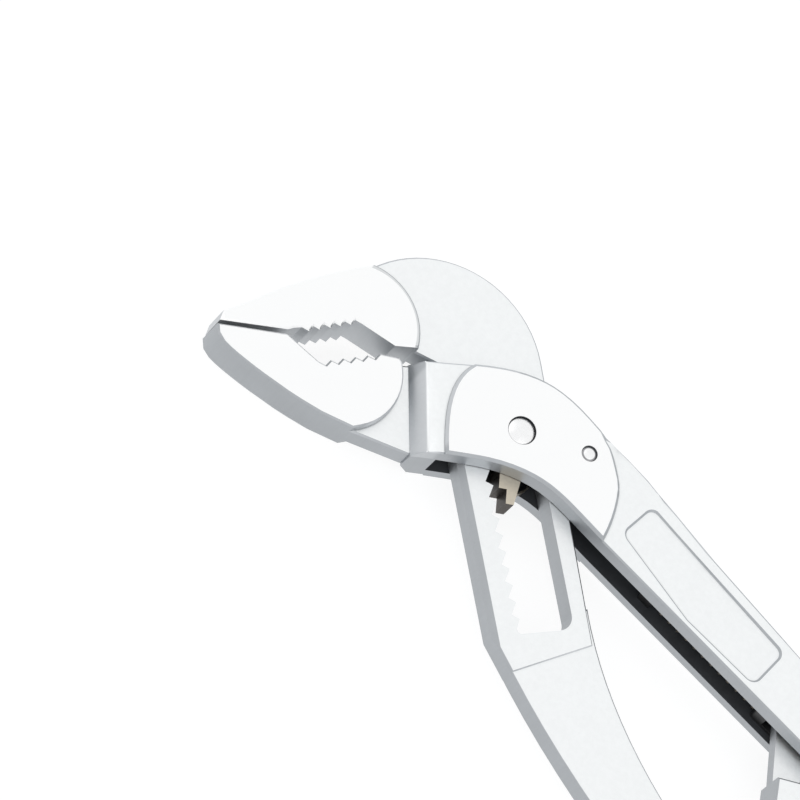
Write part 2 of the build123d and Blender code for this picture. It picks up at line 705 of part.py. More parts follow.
# Leaf spring between the guide block and the pawl
leaf_thickness = 0.35
leaf_width = 2.0
leaf_shares = [(-0.852, -0.59), (-1.377, -0.557), (-1.721, 0.098)]
with BuildPart() as pawl_spring:
    with BuildSketch(slot_plane(plate_low_z + block_split)):
        with BuildLine():
            Spline(*spots(leaf_shares, block_radius, block_radius))
        trace(line_width=leaf_thickness)
    extrude(amount=leaf_width)
pawl_spring.part.label = "pawl_spring"

# Return spring: one helix, swept along biarcs of half a turn
spring_start = seat_x - seat_length - spring_wire / 2 - seat_play
spring_end = nose_x + slider_front + spring_wire / 2 + seat_play
spring_pitch = (spring_start - spring_end) / spring_turns


def coil_point(turn):
    angle = 2 * pi * turn
    return Vector(spring_start - spring_pitch * turn, nose_y + spring_mean_radius * cos(angle),
                  gap_mid_z + spring_mean_radius * sin(angle))


def coil_heading(turn):
    angle = 2 * pi * turn
    around = 2 * pi * spring_mean_radius
    return Vector(-spring_pitch, -around * sin(angle), around * cos(angle)).normalized()


def biarc_joint(start, leave, end, arrive):
    """Point where two arcs meet that leave and arrive along the given headings."""
    across = end - start
    both = leave + arrive
    spread = 2 * (1 - leave.dot(arrive))
    reach = (sqrt(across.dot(both) ** 2 + spread * across.dot(across)) - across.dot(both)) / spread
    return (start + end + (leave - arrive) * reach) / 2


with BuildPart() as return_spring:
    with BuildLine() as coil:
        for half in range(2 * spring_turns):
            turn, after = half / 2, (half + 1) / 2
            start, end = coil_point(turn), coil_point(after)
            middle = biarc_joint(start, coil_heading(turn), end, coil_heading(after))
            first_arc = TangentArc(start, middle, tangent=coil_heading(turn))
            TangentArc(middle, end, tangent=first_arc % 1)
    with BuildSketch(Plane(origin=coil.line @ 0, z_dir=coil.line % 0)):
        Circle(spring_wire / 2)
    sweep(path=coil.line)
return_spring.part.label = "return_spring"

samples_per_turn = 16
coil_samples = [coil.line @ (n / (samples_per_turn * spring_turns))
                for n in range(samples_per_turn * spring_turns + 1)]
least = min((one - other).length for i, one in enumerate(coil_samples)
            for other in coil_samples[i + samples_per_turn // 2:])
print("least gap between the spring's turns", round(least - spring_wire, 2), "mm")

# Grips: thick plastic sleeves on both handles, flat on the side that lies down
grip_end_wall = 3.2
grip_section_shares = [(0.0, 0.55), (0.03, 0.95), (0.18, 1.3), (0.5, 0.95), (0.8, 1.15), (0.97, 0.85),
                       (1.0, 0.45)]
grooves_start_share = 0.24
grooves_share = 0.5


def grip_section(along, swell, start_x, start_edges, end_x, end_edges):
    """Place, middle and width of a grip's section at a share of its length."""
    low = start_edges[0] + (end_edges[0] - start_edges[0]) * along - grip_wall * swell
    high = start_edges[1] + (end_edges[1] - start_edges[1]) * along + grip_wall * swell
    return (start_x + (end_x - start_x) * along, (low + high) / 2, high - low)


def swell_at(along):
    """Swell between the two listed sections next to this share of the length."""
    for (before, low), (after, high) in zip(grip_section_shares, grip_section_shares[1:]):
        if before <= along <= after:
            return low + (high - low) * (along - before) / (after - before)


def grip_plane(x, middle):
    """Plane across a grip, facing the handle's end."""
    return Plane(origin=(x, middle, grip_thickness / 2), x_dir=(0, 1, 0), z_dir=(-1, 0, 0))


def grip_blank(start_x, start_edges, end_x, end_edges):
    """A swelling sleeve with grooves round it, before its socket is cut."""
    with BuildPart() as blank:
        for along, swell in grip_section_shares:
            x, middle, width = grip_section(along, swell, start_x, start_edges, end_x, end_edges)
            with BuildSketch(grip_plane(x, middle)):
                RectangleRounded(width, grip_thickness, grip_corner)
        loft()
        for groove in range(round(grooves_share * (start_x - end_x) / groove_pitch)):
            along = grooves_start_share + groove * groove_pitch / (start_x - end_x)
            x, middle, width = grip_section(along, swell_at(along), start_x, start_edges, end_x, end_edges)
            with BuildSketch(grip_plane(x, middle)):
                Rectangle(width + overrun, grip_thickness + overrun)
                RectangleRounded(width - 2 * groove_depth, grip_thickness - 2 * groove_depth,
                                 grip_corner - groove_depth, mode=Mode.SUBTRACT)
            extrude(amount=groove_width, mode=Mode.SUBTRACT)
    return blank.part


inner_grip_start = strut_pin_x - strut_eye_radius - inner_grip_gap
grip_end = -handle_reach - grip_end_wall
bar_outer = bar_spots(bar_outer_shares)
bar_inner = bar_spots(bar_inner_shares)
outer_blank = grip_blank(outer_grip_start, (handle_top[2][1], handle_low),
                         grip_end, (handle_top[3][1], handle_low))
inner_blank = grip_blank(inner_grip_start, (bar_inner[3][1], bar_outer[3][1]),
                         grip_end, (bar_inner[4][1], bar_outer[4][1]))

with BuildPart() as outer_grip:
    add(outer_blank)
    # Socket for the tang
    with BuildSketch(Plane.XY.offset(tang_low_z - grip_play)):
        Polygon((outer_grip_start + overrun, handle_top[2][1] - grip_play),
                (handle_top[2][0], handle_top[2][1] - grip_play),
                (handle_top[3][0] - grip_play, handle_top[3][1] - grip_play),
                (handle_top[3][0] - grip_play, handle_low + grip_play),
                (outer_grip_start + overrun, handle_low + grip_play), align=None)
    extrude(amount=tang_high_z - tang_low_z + 2 * grip_play, mode=Mode.SUBTRACT)
outer_grip.part.label = "outer_grip"

with BuildPart() as inner_grip:
    add(inner_blank)
    # Socket for the flat handle
    with BuildSketch(Plane.XY.offset(bar_low_z - grip_play)):
        with BuildLine():
            high_edge = [(x - grip_play, y + grip_play) for x, y in bar_outer]
            low_edge = [(x - grip_play, y - grip_play) for x, y in bar_inner]
            Spline(*high_edge)
            Line(high_edge[-1], low_edge[-1])
            Spline(*reversed(low_edge))
            Line(low_edge[0], high_edge[0])
        make_face()
    extrude(amount=bar_thickness + 2 * grip_play, mode=Mode.SUBTRACT)
inner_grip.part.label = "inner_grip"

os.makedirs("parts", exist_ok=True)
for piece in (outer_lever, inner_lever, pivot_pin, pivot_sleeve, cross_pin, stop_bush, guide_block, pawl,
              pawl_spring, spring_seat, return_spring, slider, strut, nose_pin, strut_pin, strut_ring,
              outer_grip, inner_grip):
    export_step(piece.part, "parts/" + piece.part.label + ".step")
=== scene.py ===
"""Self-adjusting pliers on a white bench: finishes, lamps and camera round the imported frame."""
import math
import bmesh
import bpy
from mathutils import Matrix, Vector
from mathutils.bvhtree import BVHTree


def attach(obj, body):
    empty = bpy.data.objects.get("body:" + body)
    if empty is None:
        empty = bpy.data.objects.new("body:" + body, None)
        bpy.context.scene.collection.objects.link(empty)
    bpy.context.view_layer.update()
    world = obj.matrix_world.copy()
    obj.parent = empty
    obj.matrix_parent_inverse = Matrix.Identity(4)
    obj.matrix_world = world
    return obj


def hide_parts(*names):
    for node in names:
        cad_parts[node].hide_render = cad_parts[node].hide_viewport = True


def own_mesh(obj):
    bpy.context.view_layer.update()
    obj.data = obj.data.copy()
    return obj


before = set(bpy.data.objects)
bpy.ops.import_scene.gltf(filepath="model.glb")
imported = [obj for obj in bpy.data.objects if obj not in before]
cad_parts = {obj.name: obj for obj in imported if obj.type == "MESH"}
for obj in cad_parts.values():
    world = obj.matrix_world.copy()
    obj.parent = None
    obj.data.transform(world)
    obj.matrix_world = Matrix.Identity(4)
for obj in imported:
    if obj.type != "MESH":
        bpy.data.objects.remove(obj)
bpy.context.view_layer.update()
nodes = dict(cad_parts)     # Each node's visible object, a finished copy where there is one
scene = bpy.context.scene
MM = 0.001

# Places on the tool, in millimetres
PIVOT = (0, 0)
SMALL_PIN = (-12.8, -7.2)
STRUT_PIN = (-110, 45.25)
NOSE_PIN = (-80, -0.2)
MIDDLE_Z = 6.95                  # The camera is set by the point of the pivot's axis at this height
FACE_Z = 13.4                    # Front face of the channel handle
FACE_SLACK = 0.02                # Points down to this far below it count as on it
PANEL_FLOOR_Z = 12.9             # The sunken panel's rim lies above this
BORE_Z = 12.0                    # The front bores' walls lie above this,
SMALL_BORE_Z = 13.9              # and the small one's outer rim above this
BOSS_WALL_Z = 13.45              # The front boss's wall lies above this
BOSS_FRONT_Z = 14.0              # and its front face above this
BOSS_BACK_Z = 0.1                # The back boss's face lies below this
BOSS_REAR_X = -17.0              # The boss's foot is part of its wall behind this
PIN_BORE = 3.95                  # The front bores in the solids, and the rims the photograph shows
PIN_RIM = 3.02
SMALL_BORE = 2.2
SMALL_RIM = 1.72


# ---------------------------------------------------------------- node helpers
class Nodes:
    """A short way to write a node tree."""

    def __init__(self, owner, output):
        owner.use_nodes = True
        self.tree = owner.node_tree
        self.tree.nodes.clear()
        self.out = self.tree.nodes.new(output)

    def new(self, kind, **inputs):
        """A node with its inputs set or linked by name."""
        node = self.tree.nodes.new(kind)
        for key, value in inputs.items():
            self.feed(node.inputs[key.replace("_", " ")], value)
        return node

    def feed(self, socket, value):
        """Links a socket's input to another node's output, or sets it to a plain value."""
        if isinstance(value, bpy.types.NodeSocket):
            self.tree.links.new(value, socket)
        elif socket.type == "RGBA" and len(value) == 3:
            socket.default_value = (*value, 1.0)
        else:
            socket.default_value = value

    def math(self, operation, a, b=0.0, c=0.0):
        """One step of arithmetic."""
        node = self.tree.nodes.new("ShaderNodeMath")
        node.operation = operation
        for socket, value in zip(node.inputs, (a, b, c)):
            self.feed(socket, value)
        return node.outputs[0]

    def either(self, *masks):
        """The largest of the masks."""
        result = masks[0]
        for mask in masks[1:]:
            result = self.math("MAXIMUM", result, mask)
        return result

    def seen_directly(self):
        """1 for what the camera sees, also in a reflection, and 0 for the light on the part."""
        path = self.tree.nodes.new("ShaderNodeLightPath")
        rays = ("Is Camera Ray", "Is Glossy Ray", "Is Transmission Ray")
        return self.either(*(path.outputs[ray] for ray in rays))

    def mix_shader(self, mask, a, b):
        """Shader a where the mask is 0 and shader b where it is 1."""
        node = self.tree.nodes.new("ShaderNodeMixShader")
        for socket, value in zip(node.inputs, (mask, a.outputs[0], b.outputs[0])):
            self.feed(socket, value)
        return node

    def end(self, shader):
        """Gives the last shader to the output."""
        self.tree.links.new(shader.outputs[0], self.out.inputs["Surface"])


class Finish(Nodes):
    """A piece's material. Places and sizes are in millimetres, along the part's own axes."""

    def __init__(self, name):
        self.mat = bpy.data.materials.new(name)
        super().__init__(self.mat, "ShaderNodeOutputMaterial")
        self.coords = self.tree.nodes.new("ShaderNodeTexCoord")
        place = self.tree.nodes.new("ShaderNodeVectorMath")
        place.operation = "SCALE"
        self.feed(place.inputs[0], self.coords.outputs["Object"])
        self.feed(place.inputs["Scale"], 1 / MM)
        self.x, self.y, self.z = self.split(place.outputs[0])
        self.nx, self.ny, self.nz = self.split(self.coords.outputs["Normal"])

    def split(self, vector):
        """The three numbers of a vector."""
        return self.new("ShaderNodeSeparateXYZ", Vector=vector).outputs

    # Masks run from 0 to 1
    def step(self, value, low, high):
        """0 below low and 1 above high, smooth between."""
        node = self.new("ShaderNodeMapRange", Value=value, From_Min=low, From_Max=high)
        node.interpolation_type = "SMOOTHSTEP"
        return node.outputs["Result"]

    def band(self, value, middle, half, soft):
        """1 within half of middle, 0 further off."""
        away = self.math("ABSOLUTE", self.math("SUBTRACT", value, middle))
        return self.flip(self.step(away, half, half + soft))

    def between(self, value, low, high, soft):
        """1 from low to high, 0 further off."""
        return self.both(self.step(value, low - soft, low),
                         self.flip(self.step(value, high, high + soft)))

    def both(self, *masks):
        """The product of the masks."""
        result = masks[0]
        for mask in masks[1:]:
            result = self.math("MULTIPLY", result, mask)
        return result

    def flip(self, mask):
        """1 where the mask is 0, and 0 where it is 1."""
        return self.math("SUBTRACT", 1.0, mask)

    def nowhere(self):
        """A mask that is 0 all over the piece."""
        return self.math("MULTIPLY", self.x, 0.0)

    def radius(self, middle):
        """Distance from an axis along Z."""
        squares = []
        for value, centre in zip((self.x, self.y), middle):
            away = self.math("SUBTRACT", value, centre)
            squares.append(self.math("MULTIPLY", away, away))
        return self.math("SQRT", self.math("ADD", *squares))

    def ring(self, middle, inner, outer, soft=0.05):
        """1 on a ring round an axis along Z."""
        return self.between(self.radius(middle), inner, outer, soft)

    def corner_shade(self, distance):
        """Mask for painted shade in inner corners: 1 deep in an inner corner, 0 on open metal."""
        node = self.tree.nodes.new("ShaderNodeAmbientOcclusion")
        node.samples = 8
        node.only_local = True
        node.inputs["Distance"].default_value = distance * MM
        return self.flip(self.step(node.outputs["AO"], 0.45, 0.97))

    # Colours, roughness and relief
    def mix(self, mask, a, b):
        """Colour a where the mask is 0 and colour b where it is 1."""
        node = self.tree.nodes.new("ShaderNodeMix")
        node.data_type = "RGBA"
        self.feed(node.inputs["Factor"], mask)
        self.feed(node.inputs[6], a)
        self.feed(node.inputs[7], b)
        return node.outputs[2]

    def blend(self, mask, a, b):
        """Number a where the mask is 0 and number b where it is 1."""
        node = self.tree.nodes.new("ShaderNodeMix")
        node.data_type = "FLOAT"
        self.feed(node.inputs[0], mask)
        self.feed(node.inputs[2], a)
        self.feed(node.inputs[3], b)
        return node.outputs[0]

    def grains(self, size, stretch=(1, 1, 1)):
        """Coordinates for a texture whose grains are about as large as size."""
        node = self.new("ShaderNodeMapping", Vector=self.coords.outputs["Object"])
        node.inputs["Scale"].default_value = tuple(s / (size * MM) for s in stretch)
        return node.outputs["Vector"]

    def noise(self, size, detail=3.0, roughness=0.5, stretch=(1, 1, 1)):
        """Noise from 0 to 1."""
        node = self.new("ShaderNodeTexNoise", Vector=self.grains(size, stretch), Scale=1.0,
                        Detail=detail, Roughness=roughness)
        return node.outputs["Fac"]

    def tone(self, colour, amount, value):
        """The colour, darker and lighter by amount as value runs from 0 to 1."""
        node = self.tree.nodes.new("ShaderNodeVectorMath")
        node.operation = "SCALE"
        self.feed(node.inputs[0], colour)
        self.feed(node.inputs["Scale"], self.math("MULTIPLY_ADD", value, 2 * amount, 1 - amount))
        return node.outputs[0]

    def bump(self, height, distance):
        """The normal of a skin with this relief."""
        return self.new("ShaderNodeBump", Height=height, Distance=distance * MM).outputs["Normal"]

    def worn(self, patches, fine, depth):
        """Patchy noise, and the normal of a skin roughened by the patches and a finer grain."""
        patch = self.noise(patches, detail=4.0, roughness=0.6)
        height = self.blend(0.5, patch, self.noise(fine, detail=2.0))
        return patch, self.bump(height, depth)

    def surface(self, colour, metallic, roughness, normal):
        """Ends the material and gives it back."""
        self.end(self.new("ShaderNodeBsdfPrincipled", Base_Color=colour, Metallic=metallic,
                          Roughness=roughness, Normal=normal))
        return self.mat


def dress(material, *names):
    """Gives the pieces this one material."""
    for name in names:
        mesh = nodes[name].data
        mesh.materials.clear()
        mesh.materials.append(material)


# ---------------------------------------------------------------- fitted copies of the two levers
# Each pull is a line along an edge: x, y, then how far the edge moves in x and y, in millimetres.
# The metal follows it less and less, down to nothing at reach, which stands before the line.
OUTER_PULLS = [
    # The lower jaw's back outline
    (4.5, [(56.7, 33.0, 0, 0), (53.5, 32.5, 0, -0.4), (49, 32.75, 0, -1.05),
           (45, 32.3, 0, -1.25), (41, 31.5, 0, -1.1), (37, 30.2, 0, -0.65), (33, 28.7, 0, -0.2),
           (29, 27.0, 0, 0.3), (26, 25.7, 0, 0.45), (23.4, 23.7, 0, 0)]),
    # Its side of the gap between the jaws' tips
    (3.0, [(57.0, 31.0, 0.45, -0.6), (52.0, 26.9, 0, -0.8), (46.3, 21.8, 0, -0.45),
           (43.0, 21.5, 0, 0)]),
    # The back edge of the channel handle
    (3.0, [(4, -13.9, 0, 0), (-3, -13.75, 0, 0.15), (-8, -13.5, 0, 0.35), (-12, -13.4, 0, 0.42),
           (-14.7, -13.1, 0, 0.12), (-19, -12.5, 0, -0.5), (-22.3, -11.9, 0, -1.35),
           (-25.6, -11.4, 0, -1.5), (-34.7, -10.3, 0, -1.7), (-41.2, -10.0, 0, -1.35),
           (-55, -9.4, 0, -0.6), (-75, -8.8, 0, 0)]),
]
BOSS_PULLS = [
    # The front boss's rear edge
    (1.8, [(-11.4, -12.8, 0, 0), (-13.5, -12.6, 0.33, 0.73), (-15.45, -12.4, 0.56, 1.26),
           (-16.6, -11.6, 0.64, 1.06), (-17.65, -10.7, 0.53, 0.89), (-19.1, -9.35, 0.44, 0.58),
           (-20.45, -7.8, 0.15, 0.25), (-21.7, -6.2, 0, 0)]),
]
INNER_PULLS = [
    # The upper jaw's tooth row and the corner in front of it
    (5.5, [(47.3, 20.6, 0, -0.1), (47.2, 19.3, -0.45, -0.1), (47.4, 17.6, -1.9, -0.2),
           (44.4, 12.6, -1.9, -0.2), (41.2, 7.6, -1.85, 0.05), (39.5, 7.0, -1.8, 0.1),
           (35, 6.1, -0.6, 0.25), (29.9, 5.1, 0, 0.2)]),
    # Its side of the gap between the jaws' tips
    (3.0, [(57.6, 29.6, 0.05, -0.7), (52.0, 24.6, 0, -0.65), (47.8, 21.0, 0, -0.35)]),
    # The blunt nose
    (1.6, [(57.6, 26.6, 0.75, 0.9), (57.9, 25.0, 0.5, 0)]),
]
HOLD = 0.8                       # Within this distance of its line a pull moves everything alike
SHARP_ANGLE = 28                 # Degrees. Shading breaks where two faces meet at more than this
WELD = 0.002                     # Points closer than this are one

# The sunken panel's long side next to the handle's back edge, and what the panel covers
PANEL_SIDE = (-31.8, -10.3)
PANEL_SLOPE = 0.0771
PANEL_ENDS = (-69.0, -29.0)
PANEL_TOP_Y = 3
PANEL_SLACK = 0.08
PANEL_FORWARD = 0.75             # How far the panel's front end moves towards the jaws,
PANEL_FRONT_RAMP = (-40, 8)      # where that starts, and the length over which it grows
PANEL_INWARD = 0.85              # How far the rim moves off the handle's back edge,
PANEL_EASE = 0.45                # how much less at its far side,
PANEL_WIDTH = 10                 # how far off that is,
PANEL_REAR_RAMP = 20             # and the length over which it grows from the rear end

# The line cut along the handle's broken back edge
CUT_POINT = (-31.36, -10.45, 0)
CUT_NORMAL = (0.0687, 1, 0)
CUT_ENDS = (-50, -25)
CUT_TOP_Y = -5
CUT_FLOOR_Z = 13.0
CUT_REACH = 1e-7                 # Metres. A point this near to the plane lies on it
CUT_SHIFT = 0.01                 # The cut's points move this far towards the panel,
CUT_MARK = 0.001                 # and stand this far above the face, as their mark
BEVEL = 0.34                     # The cut stands in from the handle's edge by this
BEVEL_FRONT = (28.6, 1.5)        # How far behind the pivot that starts, and over what length
BEVEL_REAR = (-47.5, 3)          # The same at its rear end, as an x


def ramp(value, start, length):
    """0 at start and 1 a length further on."""
    return min(1, max(0, (value - start) / length))


def panel_line(x):
    """Where the panel's long side is at this x."""
    return PANEL_SIDE[1] + PANEL_SLOPE * (PANEL_SIDE[0] - x)


def in_panel(x, y, z):
    """Whether the point belongs to the sunken panel or its rim."""
    inside = PANEL_ENDS[0] < x < PANEL_ENDS[1] and panel_line(x) - PANEL_SLACK < y < PANEL_TOP_Y
    return z > PANEL_FLOOR_Z and inside


def panel_moved(x, y):
    """The panel's rim moves off the handle's back edge, most along that side."""
    inward = PANEL_INWARD - PANEL_EASE * ramp(y, panel_line(x), PANEL_WIDTH)
    forward = PANEL_FORWARD * ramp(x, *PANEL_FRONT_RAMP)
    return x + forward, y + inward * ramp(x, PANEL_ENDS[0], PANEL_REAR_RAMP)


def split_back_edge(bm):
    """Parts the handle's broken back edge from the panel's rim, so that each keeps its own line."""
    faces = []
    for face in bm.faces:
        centre = face.calc_center_median() / MM
        beside = CUT_ENDS[0] < centre.x < CUT_ENDS[1] and centre.y < CUT_TOP_Y
        if beside and min(v.co.z for v in face.verts) > CUT_FLOOR_Z * MM:
            faces.append(face)
    edges = [edge for face in faces for edge in face.edges]
    points = [point for face in faces for point in face.verts]
    cut = bmesh.ops.bisect_plane(bm, geom=list(dict.fromkeys(faces + edges + points)),
                                 dist=CUT_REACH, plane_co=Vector(CUT_POINT) * MM,
                                 plane_no=Vector(CUT_NORMAL))
    for part in cut["geom_cut"]:
        if isinstance(part, bmesh.types.BMVert):
            part.co.y += CUT_SHIFT * MM
            part.co.z = (FACE_Z + CUT_MARK) * MM


def on_cut(z):
    """Whether split_back_edge drew the point."""
    return abs(z - FACE_Z - CUT_MARK) < CUT_MARK / 2


def back_bevel(x):
    """How far the cut stands in from the handle's edge, nothing at its two ends."""
    return BEVEL * ramp(-x, *BEVEL_FRONT) * ramp(x, *BEVEL_REAR)


def pulled(x, y, pulls):
    """Where the pulls bring the point."""
    gone_x = gone_y = 0.0
    for reach, line in pulls:
        best = None
        for (ax, ay, adx, ady), (bx, by, bdx, bdy) in zip(line, line[1:]):
            run = (bx - ax) ** 2 + (by - ay) ** 2
            t = min(1, max(0, ((x - ax) * (bx - ax) + (y - ay) * (by - ay)) / run))
            away = math.hypot(x - ax - t * (bx - ax), y - ay - t * (by - ay))
            if best is None or away < best[0]:
                best = (away, adx + t * (bdx - adx), ady + t * (bdy - ady))
        share = 1 - max(0, best[0] - HOLD) / (reach - HOLD)
        if share > 0:
            weight = share * share * (3 - 2 * share)
            gone_x += weight * best[1]
            gone_y += weight * best[2]
    return x + gone_x, y + gone_y


def from_pin(x, y, pin):
    """Distance from a pin's axis."""
    return math.hypot(x - pin[0], y - pin[1])


def narrowed(x, y, pin, rim):
    """Brings a point of a bore's wall in to the rim's radius."""
    share = min(1, rim / from_pin(x, y, pin))
    return pin[0] + (x - pin[0]) * share, pin[1] + (y - pin[1]) * share


def outer_moved(x, y, z):
    """Where a point of the outer lever goes."""
    if z > BORE_Z and from_pin(x, y, PIVOT) < PIN_BORE:
        return narrowed(x, y, PIVOT, PIN_RIM)
    if z > SMALL_BORE_Z and from_pin(x, y, SMALL_PIN) < SMALL_BORE:
        return narrowed(x, y, SMALL_PIN, SMALL_RIM)
    if on_cut(z):
        bevel = back_bevel(x)
        x, y = pulled(x, y, OUTER_PULLS)
        return x, y + bevel
    if in_panel(x, y, z):
        return panel_moved(x, y)
    if z > BOSS_WALL_Z or z > FACE_Z - FACE_SLACK and x < BOSS_REAR_X:
        x, y = pulled(x, y, BOSS_PULLS)
    return pulled(x, y, OUTER_PULLS)


def inner_moved(x, y, z):
    """Where a point of the inner lever goes, the same at any height."""
    return pulled(x, y, INNER_PULLS)


def fitted(node, body, moved, prepare=None):
    """A copy of a lever's mesh with its edges brought to the photograph's outline."""
    mesh = nodes[node].data.copy()
    mesh.name = node + "_fitted"
    obj = bpy.data.objects.new(node + "_fitted", mesh)
    scene.collection.objects.link(obj)
    bm = bmesh.new()
    bm.from_mesh(mesh)
    bmesh.ops.remove_doubles(bm, verts=bm.verts, dist=WELD * MM)
    if prepare:
        prepare(bm)
    for vertex in bm.verts:
        x, y, z = (c / MM for c in vertex.co)
        x, y = moved(x, y, z)
        vertex.co = (x * MM, y * MM, z * MM)
    bmesh.ops.triangulate(bm, faces=[f for f in bm.faces if len(f.verts) > 3])
    bm.to_mesh(mesh)
    bm.free()
    # The copied normals belong to the points' old places
    if "custom_normal" in mesh.attributes:
        mesh.attributes.remove(mesh.attributes["custom_normal"])
    mesh.shade_smooth()
    mesh.set_sharp_from_angle(angle=math.radians(SHARP_ANGLE))
    mesh.update()
    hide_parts(node)
    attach(obj, body)
    nodes[node] = obj


fitted("outer_lever", "outer", outer_moved, split_back_edge)
fitted("inner_lever", "inner", inner_moved)


def return_coil():
    """A copy of the return spring, carried by the outer lever."""
    obj = bpy.data.objects.new("return_spring_coil", nodes["return_spring"].data.copy())
    scene.collection.objects.link(obj)
    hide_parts("return_spring")
    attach(obj, "outer")
    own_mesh(obj)
    nodes["return_spring"] = obj


return_coil()

# ---------------------------------------------------------------- plated forgings
POLISHED = (0.955, 0.962, 0.965)
FORGED = (0.875, 0.893, 0.90)
# Painted shade: the grey that sides get in place of the shade from how they face the light
SIDE_SHADE = (0.435, 0.455, 0.475)
# Painted shade, lighter: where walls in shaded corners and recesses are lifted
LIFTED_SIDE_SHADE = (0.62, 0.64, 0.66)
# Near-black painted shade: in the fork's gap, the pin holes and the heel's line
SHADE_BLACK = (0.050, 0.054, 0.060)
# Painted shade in inner corners
CORNER_SHADE_GREY = (0.16, 0.17, 0.18)

# How far along Z a normal points: where a flat face begins, and where an edge's slope lies
FACE_TILT = (0.74, 0.95)
EDGE_FROM = (0.45, 0.6)
EDGE_TO = (0.9, 0.97)

JAW_FRONT_Z = (11.35, 12.0)      # The ground jaw faces lie between these heights
JAW_BACK_Z = (1.9, 2.55)
SOFT = 0.1                       # Over this length a mask at a height fades
HEEL = (38.2, 8.2)               # Centre of the arc where the upper jaw's face ends
HEEL_RADII = (12.6, 13.4)
LOW_STEP = (-36.9, 29.7)         # A point of the step where the flat handle begins
LOW_STEP_NORMAL = (-0.915, 0.403)


def plated(name, raised, dark, pale, edge_metal=1.0):
    """Satin plate on a forging: bright ground faces where raised(m) says so, a pale mottled
    skin on the other flat faces, sides in a grey painted shade, a lighter painted shade where
    pale(m) says so, broken edges that raised(m) gives painted lit like faces, painted shade in
    inner corners, and near-black painted shade where dark(m) says so. edge_metal is how
    metallic the painted lit broken edges look."""
    m = Finish(name)
    upright = m.math("ABSOLUTE", m.nz)
    high, soft_edge = raised(m)
    # Painted light: broken edges that raised(m) gives take the faces' colour in place of the side
    # shade
    lit_edge = m.both(soft_edge, m.step(upright, *EDGE_FROM), m.flip(m.step(upright, *EDGE_TO)))
    face = m.either(m.step(upright, *FACE_TILT), lit_edge)
    mottle = m.noise(1.1, detail=4.0, roughness=0.62)
    cloud = m.noise(7.0, detail=2.0)
    grain = m.noise(0.32, detail=2.0)
    speck = m.noise(0.45, detail=3.0, roughness=0.7)
    streak = m.noise(0.55, detail=3.0, stretch=(1, 1, 0.06))

    forged = m.tone(FORGED, 0.014, m.step(mottle, 0.3, 0.7))
    forged = m.tone(m.tone(forged, 0.014, speck), 0.012, cloud)
    polished = m.tone(POLISHED, 0.006, cloud)
    # Painted shade: sides grey by how they face the light, a lighter painted shade where pale(m)
    # says so
    side = m.tone(m.tone(m.mix(pale(m), SIDE_SHADE, LIFTED_SIDE_SHADE), 0.04, streak), 0.05, cloud)
    colour = m.mix(face, side, m.mix(high, forged, polished))
    # Painted shade in inner corners
    colour = m.mix(m.both(m.corner_shade(0.55), face, 0.7), colour, CORNER_SHADE_GREY)
    # Near-black painted shade where dark(m) says so
    inside = dark(m)
    colour = m.mix(inside, colour, SHADE_BLACK)

    rough = m.blend(face, 0.46, m.blend(high, 0.42, 0.30))
    rough = m.blend(inside, rough, 0.6)
    relief = m.blend(face, 0.35, m.blend(high, 1.0, 0.12))
    normal = m.bump(m.math("MULTIPLY", m.blend(0.3, mottle, grain), relief), 0.05)
    metal = m.blend(inside, m.blend(lit_edge, 1.0, edge_metal), 0.4)
    return m.surface(colour, metal, rough, normal)


def jaw_faces(m):
    """The ground jaw faces, front and back, and the narrow edge round them."""
    faces = [m.between(m.z, *heights, SOFT) for heights in (JAW_FRONT_Z, JAW_BACK_Z)]
    return m.both(m.either(*faces), m.step(m.x, 15, 16))


def heel_line(m):
    """The band where the upper jaw's face drops to the round plate, where a rolled edge's shade is
    painted.
    """
    lower_part = m.both(m.flip(m.step(m.y, 2.2, 2.8)), m.flip(m.step(m.x, 44.0, 44.4)))
    return m.both(m.ring(HEEL, *HEEL_RADII), lower_part)


def outer_raised(m):
    """The outer lever's bright faces, and the broken edge of its biting side painted lit like a
    face, with painted shade making it less lit on one flank of each tooth."""
    jaw = jaw_faces(m)
    front = m.step(m.z, BOSS_FRONT_Z - SOFT, BOSS_FRONT_Z)
    back = m.flip(m.step(m.z, BOSS_BACK_Z, BOSS_BACK_Z + SOFT))
    biting = m.flip(m.step(m.ny, -0.3, -0.15))
    # Painted shade: one flank of each tooth, by how it faces, gets less of the lit edge colour
    flank = m.both(m.flip(m.step(m.nx, -0.45, -0.3)), 0.4)
    return m.either(jaw, front, back), m.both(jaw, biting, m.flip(flank))


def inner_raised(m):
    """The inner lever's bright faces with their edges painted lit, without the heel's line."""
    jaw = m.both(jaw_faces(m), m.flip(heel_line(m)))
    return jaw, jaw


def not_raised(m):
    """No bright faces and no bright edge."""
    return m.nowhere(), m.nowhere()


def pin_hole_shade(m):
    """Painted shade on the walls of the two pin holes in the front boss."""
    wall = m.both(m.step(m.z, BORE_Z, BORE_Z + 0.2), m.flip(m.step(m.nz, 0.9, 0.95)))
    small = m.both(m.ring(SMALL_PIN, 0, SMALL_BORE), 0.55)
    return m.both(m.either(m.ring(PIVOT, 0, PIN_BORE), small), wall)


def heel_shade(m):
    """Painted shade of the heel's rolled edge on the front, a thin grey."""
    return m.both(heel_line(m), m.step(m.z, 11.2, 11.3), 0.22)


